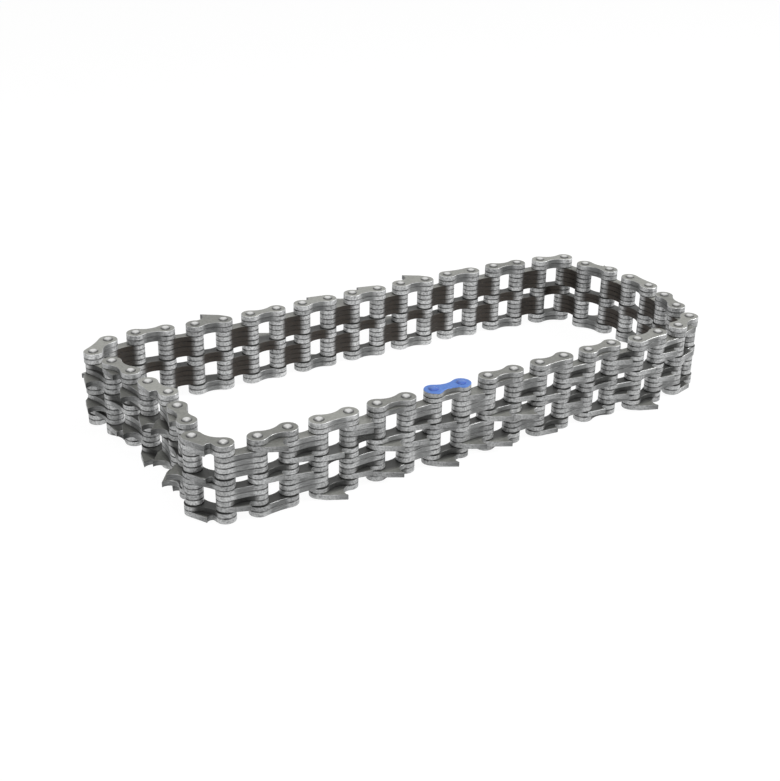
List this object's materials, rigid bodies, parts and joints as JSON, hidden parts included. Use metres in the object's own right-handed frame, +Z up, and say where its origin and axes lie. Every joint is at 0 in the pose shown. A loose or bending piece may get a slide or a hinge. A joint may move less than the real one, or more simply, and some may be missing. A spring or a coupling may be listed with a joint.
{
  "type": "mortiser chain",
  "caption": "Endless toothed mortising chain of stacked steel plates on riveted pins, standing on edge, with hooked cutter plates outside and one blue closing link.",
  "frame": {"origin": "middle of the loop's outline in plan, at the height of the lower rivet heads on which the chain stands", "axes": "+Z up along the pins, +X along the two long runs of the loop, the front run at -Y"},
  "size_m": [0.2312, 0.1116, 0.0291],
  "materials": {
    "plate_steel": "satin grey heat-treated spring steel with a thin film of oil",
    "rivet_steel": "bright spun rivet heads",
    "marker_paint": "matt blue marking paint"
  },
  "bodies": {
    "closing_link": {"closing_link_plates": "plate_steel", "closing_link_marker_plate": "marker_paint", "closing_link_rivets": "rivet_steel"},
    "inner_link_05": {"inner_link_05": "plate_steel"},
    "outer_link_06": {"outer_link_06": "plate_steel"},
    "inner_link_06": {"inner_link_06": "plate_steel"},
    "outer_link_07": {"outer_link_07": "plate_steel"},
    "inner_link_07": {"inner_link_07": "plate_steel"},
    "outer_link_08": {"outer_link_08": "plate_steel"},
    "inner_link_08": {"inner_link_08": "plate_steel"},
    "outer_link_09": {"outer_link_09": "plate_steel"},
    "inner_link_09": {"inner_link_09": "plate_steel"},
    "outer_link_10": {"outer_link_10": "plate_steel"},
    "inner_link_10": {"inner_link_10": "plate_steel"},
    "outer_link_11": {"outer_link_11": "plate_steel"},
    "inner_link_11": {"inner_link_11": "plate_steel"},
    "outer_link_12": {"outer_link_12": "plate_steel"},
    "inner_link_12": {"inner_link_12": "plate_steel"},
    "outer_link_13": {"outer_link_13": "plate_steel"},
    "inner_link_13": {"inner_link_13": "plate_steel"},
    "outer_link_14": {"outer_link_14": "plate_steel"},
    "inner_link_14": {"inner_link_14": "plate_steel"},
    "outer_link_15": {"outer_link_15": "plate_steel"},
    "inner_link_15": {"inner_link_15": "plate_steel"},
    "outer_link_16": {"outer_link_16": "plate_steel"},
    "inner_link_16": {"inner_link_16": "plate_steel"},
    "outer_link_17": {"outer_link_17": "plate_steel"},
    "inner_link_17": {"inner_link_17": "plate_steel"},
    "outer_link_18": {"outer_link_18": "plate_steel"},
    "inner_link_18": {"inner_link_18": "plate_steel"},
    "outer_link_19": {"outer_link_19": "plate_steel"},
    "inner_link_19": {"inner_link_19": "plate_steel"},
    "outer_link_20": {"outer_link_20": "plate_steel"},
    "inner_link_20": {"inner_link_20": "plate_steel"},
    "outer_link_21": {"outer_link_21": "plate_steel"},
    "inner_link_21": {"inner_link_21": "plate_steel"},
    "outer_link_22": {"outer_link_22": "plate_steel"},
    "inner_link_22": {"inner_link_22": "plate_steel"},
    "outer_link_23": {"outer_link_23": "plate_steel"},
    "inner_link_23": {"inner_link_23": "plate_steel"},
    "outer_link_24": {"outer_link_24": "plate_steel"},
    "inner_link_24": {"inner_link_24": "plate_steel"},
    "outer_link_25": {"outer_link_25": "plate_steel"},
    "inner_link_25": {"inner_link_25": "plate_steel"},
    "outer_link_26": {"outer_link_26": "plate_steel"},
    "inner_link_26": {"inner_link_26": "plate_steel"},
    "outer_link_01": {"outer_link_01": "plate_steel"},
    "inner_link_01": {"inner_link_01": "plate_steel"},
    "outer_link_02": {"outer_link_02": "plate_steel"},
    "inner_link_02": {"inner_link_02": "plate_steel"},
    "outer_link_03": {"outer_link_03": "plate_steel"},
    "inner_link_03": {"inner_link_03": "plate_steel"},
    "outer_link_04": {"outer_link_04": "plate_steel"},
    "inner_link_04": {"inner_link_04": "plate_steel"}
  },
  "joints": [
    {"name": "pin_10_turn", "type": "hinge", "parent": "closing_link", "child": "inner_link_05", "pos_m": [-0.00837, -0.0464, 0.01428], "axis": [0, 0, 1], "range_deg": [-35, 35]},
    {"name": "pin_11_turn", "type": "hinge", "parent": "inner_link_05", "child": "outer_link_06", "pos_m": [0.00293, -0.0462, 0.01428], "axis": [0, 0, 1], "range_deg": [-35, 35]},
    {"name": "pin_12_turn", "type": "hinge", "parent": "outer_link_06", "child": "inner_link_06", "pos_m": [0.01423, -0.04609, 0.01428], "axis": [0, 0, 1], "range_deg": [-35, 35]},
    {"name": "pin_13_turn", "type": "hinge", "parent": "inner_link_06", "child": "outer_link_07", "pos_m": [0.02553, -0.04609, 0.01428], "axis": [0, 0, 1], "range_deg": [-35, 35]},
    {"name": "pin_14_turn", "type": "hinge", "parent": "outer_link_07", "child": "inner_link_07", "pos_m": [0.03681, -0.0455, 0.01428], "axis": [0, 0, 1], "range_deg": [-35, 35]},
    {"name": "pin_15_turn", "type": "hinge", "parent": "inner_link_07", "child": "outer_link_08", "pos_m": [0.04811, -0.0455, 0.01428], "axis": [0, 0, 1], "range_deg": [-35, 35]},
    {"name": "pin_16_turn", "type": "hinge", "parent": "outer_link_08", "child": "inner_link_08", "pos_m": [0.0594, -0.04491, 0.01428], "axis": [0, 0, 1], "range_deg": [-35, 35]},
    {"name": "pin_17_turn", "type": "hinge", "parent": "inner_link_08", "child": "outer_link_09", "pos_m": [0.07059, -0.04648, 0.01428], "axis": [0, 0, 1], "range_deg": [-35, 35]},
    {"name": "pin_18_turn", "type": "hinge", "parent": "outer_link_09", "child": "inner_link_09", "pos_m": [0.0818, -0.0451, 0.01428], "axis": [0, 0, 1], "range_deg": [-35, 35]},
    {"name": "pin_19_turn", "type": "hinge", "parent": "inner_link_09", "child": "outer_link_10", "pos_m": [0.09304, -0.04392, 0.01428], "axis": [0, 0, 1], "range_deg": [-35, 35]},
    {"name": "pin_20_turn", "type": "hinge", "parent": "outer_link_10", "child": "inner_link_10", "pos_m": [0.1032, -0.03897, 0.01428], "axis": [0, 0, 1], "range_deg": [-35, 35]},
    {"name": "pin_21_turn", "type": "hinge", "parent": "inner_link_10", "child": "outer_link_11", "pos_m": [0.10631, -0.02811, 0.01428], "axis": [0, 0, 1], "range_deg": [-35, 35]},
    {"name": "pin_22_turn", "type": "hinge", "parent": "outer_link_11", "child": "inner_link_11", "pos_m": [0.10962, -0.0173, 0.01428], "axis": [0, 0, 1], "range_deg": [-35, 35]},
    {"name": "pin_23_turn", "type": "hinge", "parent": "inner_link_11", "child": "outer_link_12", "pos_m": [0.11119, -0.00611, 0.01428], "axis": [0, 0, 1], "range_deg": [-35, 35]},
    {"name": "pin_24_turn", "type": "hinge", "parent": "outer_link_12", "child": "inner_link_12", "pos_m": [0.11079, 0.00518, 0.01428], "axis": [0, 0, 1], "range_deg": [-35, 35]},
    {"name": "pin_25_turn", "type": "hinge", "parent": "inner_link_12", "child": "outer_link_13", "pos_m": [0.10903, 0.01634, 0.01428], "axis": [0, 0, 1], "range_deg": [-35, 35]},
    {"name": "pin_26_turn", "type": "hinge", "parent": "outer_link_13", "child": "inner_link_13", "pos_m": [0.10443, 0.02667, 0.01428], "axis": [0, 0, 1], "range_deg": [-35, 35]},
    {"name": "pin_27_turn", "type": "hinge", "parent": "inner_link_13", "child": "outer_link_14", "pos_m": [0.1017, 0.03763, 0.01428], "axis": [0, 0, 1], "range_deg": [-35, 35]},
    {"name": "pin_28_turn", "type": "hinge", "parent": "outer_link_14", "child": "inner_link_14", "pos_m": [0.09069, 0.04017, 0.01428], "axis": [0, 0, 1], "range_deg": [-35, 35]},
    {"name": "pin_29_turn", "type": "hinge", "parent": "inner_link_14", "child": "outer_link_15", "pos_m": [0.07947, 0.04155, 0.01428], "axis": [0, 0, 1], "range_deg": [-35, 35]},
    {"name": "pin_30_turn", "type": "hinge", "parent": "outer_link_15", "child": "inner_link_15", "pos_m": [0.06825, 0.04293, 0.01428], "axis": [0, 0, 1], "range_deg": [-35, 35]},
    {"name": "pin_31_turn", "type": "hinge", "parent": "inner_link_15", "child": "outer_link_16", "pos_m": [0.05696, 0.04312, 0.01428], "axis": [0, 0, 1], "range_deg": [-35, 35]},
    {"name": "pin_32_turn", "type": "hinge", "parent": "outer_link_16", "child": "inner_link_16", "pos_m": [0.0457, 0.04411, 0.01428], "axis": [0, 0, 1], "range_deg": [-35, 35]},
    {"name": "pin_33_turn", "type": "hinge", "parent": "inner_link_16", "child": "outer_link_17", "pos_m": [0.03441, 0.04352, 0.01428], "axis": [0, 0, 1], "range_deg": [-35, 35]},
    {"name": "pin_34_turn", "type": "hinge", "parent": "outer_link_17", "child": "inner_link_17", "pos_m": [0.02314, 0.04431, 0.01428], "axis": [0, 0, 1], "range_deg": [-35, 35]},
    {"name": "pin_35_turn", "type": "hinge", "parent": "inner_link_17", "child": "outer_link_18", "pos_m": [0.01185, 0.04391, 0.01428], "axis": [0, 0, 1], "range_deg": [-35, 35]},
    {"name": "pin_36_turn", "type": "hinge", "parent": "outer_link_18", "child": "inner_link_18", "pos_m": [0.00056, 0.0445, 0.01428], "axis": [0, 0, 1], "range_deg": [-35, 35]},
    {"name": "pin_37_turn", "type": "hinge", "parent": "inner_link_18", "child": "outer_link_19", "pos_m": [-0.01073, 0.04431, 0.01428], "axis": [0, 0, 1], "range_deg": [-35, 35]},
    {"name": "pin_38_turn", "type": "hinge", "parent": "outer_link_19", "child": "inner_link_19", "pos_m": [-0.02203, 0.04431, 0.01428], "axis": [0, 0, 1], "range_deg": [-35, 35]},
    {"name": "pin_39_turn", "type": "hinge", "parent": "inner_link_19", "child": "outer_link_20", "pos_m": [-0.03333, 0.04431, 0.01428], "axis": [0, 0, 1], "range_deg": [-35, 35]},
    {"name": "pin_40_turn", "type": "hinge", "parent": "outer_link_20", "child": "inner_link_20", "pos_m": [-0.04463, 0.04431, 0.01428], "axis": [0, 0, 1], "range_deg": [-35, 35]},
    {"name": "pin_41_turn", "type": "hinge", "parent": "inner_link_20", "child": "outer_link_21", "pos_m": [-0.05593, 0.04431, 0.01428], "axis": [0, 0, 1], "range_deg": [-35, 35]},
    {"name": "pin_42_turn", "type": "hinge", "parent": "outer_link_21", "child": "inner_link_21", "pos_m": [-0.06719, 0.04529, 0.01428], "axis": [0, 0, 1], "range_deg": [-35, 35]},
    {"name": "pin_43_turn", "type": "hinge", "parent": "inner_link_21", "child": "outer_link_22", "pos_m": [-0.07838, 0.04686, 0.01428], "axis": [0, 0, 1], "range_deg": [-35, 35]},
    {"name": "pin_44_turn", "type": "hinge", "parent": "outer_link_22", "child": "inner_link_22", "pos_m": [-0.0896, 0.04824, 0.01428], "axis": [0, 0, 1], "range_deg": [-35, 35]},
    {"name": "pin_45_turn", "type": "hinge", "parent": "inner_link_22", "child": "outer_link_23", "pos_m": [-0.10083, 0.04706, 0.01428], "axis": [0, 0, 1], "range_deg": [-35, 35]},
    {"name": "pin_46_turn", "type": "hinge", "parent": "outer_link_23", "child": "inner_link_23", "pos_m": [-0.10923, 0.0395, 0.01428], "axis": [0, 0, 1], "range_deg": [-35, 35]},
    {"name": "pin_47_turn", "type": "hinge", "parent": "inner_link_23", "child": "outer_link_24", "pos_m": [-0.1065, 0.02853, 0.01428], "axis": [0, 0, 1], "range_deg": [-35, 35]},
    {"name": "pin_48_turn", "type": "hinge", "parent": "outer_link_24", "child": "inner_link_24", "pos_m": [-0.10376, 0.01757, 0.01428], "axis": [0, 0, 1], "range_deg": [-35, 35]},
    {"name": "pin_49_turn", "type": "hinge", "parent": "inner_link_24", "child": "outer_link_25", "pos_m": [-0.102, 0.00641, 0.01428], "axis": [0, 0, 1], "range_deg": [-35, 35]},
    {"name": "pin_50_turn", "type": "hinge", "parent": "outer_link_25", "child": "inner_link_25", "pos_m": [-0.09915, -0.00453, 0.01428], "axis": [0, 0, 1], "range_deg": [-35, 35]},
    {"name": "pin_51_turn", "type": "hinge", "parent": "inner_link_25", "child": "outer_link_26", "pos_m": [-0.10072, -0.01572, 0.01428], "axis": [0, 0, 1], "range_deg": [-35, 35]},
    {"name": "pin_52_turn", "type": "hinge", "parent": "outer_link_26", "child": "inner_link_26", "pos_m": [-0.10229, -0.02691, 0.01428], "axis": [0, 0, 1], "range_deg": [-35, 35]},
    {"name": "pin_01_turn", "type": "hinge", "parent": "inner_link_26", "child": "outer_link_01", "pos_m": [-0.10541, -0.03777, 0.01428], "axis": [0, 0, 1], "range_deg": [-35, 35]},
    {"name": "pin_02_turn", "type": "hinge", "parent": "outer_link_01", "child": "inner_link_01", "pos_m": [-0.09861, -0.04679, 0.01428], "axis": [0, 0, 1], "range_deg": [-35, 35]},
    {"name": "pin_03_turn", "type": "hinge", "parent": "inner_link_01", "child": "outer_link_02", "pos_m": [-0.08739, -0.04817, 0.01428], "axis": [0, 0, 1], "range_deg": [-35, 35]},
    {"name": "pin_04_turn", "type": "hinge", "parent": "outer_link_02", "child": "inner_link_02", "pos_m": [-0.07614, -0.04719, 0.01428], "axis": [0, 0, 1], "range_deg": [-35, 35]},
    {"name": "pin_05_turn", "type": "hinge", "parent": "inner_link_02", "child": "outer_link_03", "pos_m": [-0.06484, -0.04738, 0.01428], "axis": [0, 0, 1], "range_deg": [-35, 35]},
    {"name": "pin_06_turn", "type": "hinge", "parent": "outer_link_03", "child": "inner_link_03", "pos_m": [-0.05354, -0.04699, 0.01428], "axis": [0, 0, 1], "range_deg": [-35, 35]},
    {"name": "pin_07_turn", "type": "hinge", "parent": "inner_link_03", "child": "outer_link_04", "pos_m": [-0.04226, -0.0464, 0.01428], "axis": [0, 0, 1], "range_deg": [-35, 35]},
    {"name": "pin_08_turn", "type": "hinge", "parent": "outer_link_04", "child": "inner_link_04", "pos_m": [-0.03096, -0.04659, 0.01428], "axis": [0, 0, 1], "range_deg": [-35, 35]}
  ],
  "couplings": [
    {"joint": "pin_29_turn", "follows": "pin_28_turn", "ratio": -1},
    {"joint": "pin_02_turn", "follows": "pin_28_turn", "ratio": 1},
    {"joint": "pin_03_turn", "follows": "pin_28_turn", "ratio": -1},
    {"joint": "pin_31_turn", "follows": "pin_30_turn", "ratio": -1},
    {"joint": "pin_04_turn", "follows": "pin_30_turn", "ratio": 1},
    {"joint": "pin_05_turn", "follows": "pin_30_turn", "ratio": -1},
    {"joint": "pin_33_turn", "follows": "pin_32_turn", "ratio": -1},
    {"joint": "pin_06_turn", "follows": "pin_32_turn", "ratio": 1},
    {"joint": "pin_07_turn", "follows": "pin_32_turn", "ratio": -1},
    {"joint": "pin_35_turn", "follows": "pin_34_turn", "ratio": -1},
    {"joint": "pin_08_turn", "follows": "pin_34_turn", "ratio": 1},
    {"joint": "pin_11_turn", "follows": "pin_10_turn", "ratio": -1},
    {"joint": "pin_36_turn", "follows": "pin_10_turn", "ratio": 1},
    {"joint": "pin_37_turn", "follows": "pin_10_turn", "ratio": -1},
    {"joint": "pin_13_turn", "follows": "pin_12_turn", "ratio": -1},
    {"joint": "pin_38_turn", "follows": "pin_12_turn", "ratio": 1},
    {"joint": "pin_39_turn", "follows": "pin_12_turn", "ratio": -1},
    {"joint": "pin_15_turn", "follows": "pin_14_turn", "ratio": -1},
    {"joint": "pin_40_turn", "follows": "pin_14_turn", "ratio": 1},
    {"joint": "pin_41_turn", "follows": "pin_14_turn", "ratio": -1},
    {"joint": "pin_17_turn", "follows": "pin_16_turn", "ratio": -1},
    {"joint": "pin_42_turn", "follows": "pin_16_turn", "ratio": 1},
    {"joint": "pin_43_turn", "follows": "pin_16_turn", "ratio": -1},
    {"joint": "pin_19_turn", "follows": "pin_18_turn", "ratio": -1},
    {"joint": "pin_44_turn", "follows": "pin_18_turn", "ratio": 1},
    {"joint": "pin_45_turn", "follows": "pin_18_turn", "ratio": -1},
    {"joint": "pin_21_turn", "follows": "pin_20_turn", "ratio": -1},
    {"joint": "pin_52_turn", "follows": "pin_20_turn", "ratio": 1},
    {"joint": "pin_01_turn", "follows": "pin_20_turn", "ratio": -1},
    {"joint": "pin_23_turn", "follows": "pin_22_turn", "ratio": -1},
    {"joint": "pin_50_turn", "follows": "pin_22_turn", "ratio": 1},
    {"joint": "pin_51_turn", "follows": "pin_22_turn", "ratio": -1},
    {"joint": "pin_25_turn", "follows": "pin_24_turn", "ratio": -1},
    {"joint": "pin_48_turn", "follows": "pin_24_turn", "ratio": 1},
    {"joint": "pin_49_turn", "follows": "pin_24_turn", "ratio": -1},
    {"joint": "pin_27_turn", "follows": "pin_26_turn", "ratio": -1},
    {"joint": "pin_46_turn", "follows": "pin_26_turn", "ratio": 1},
    {"joint": "pin_47_turn", "follows": "pin_26_turn", "ratio": -1}
  ]
}
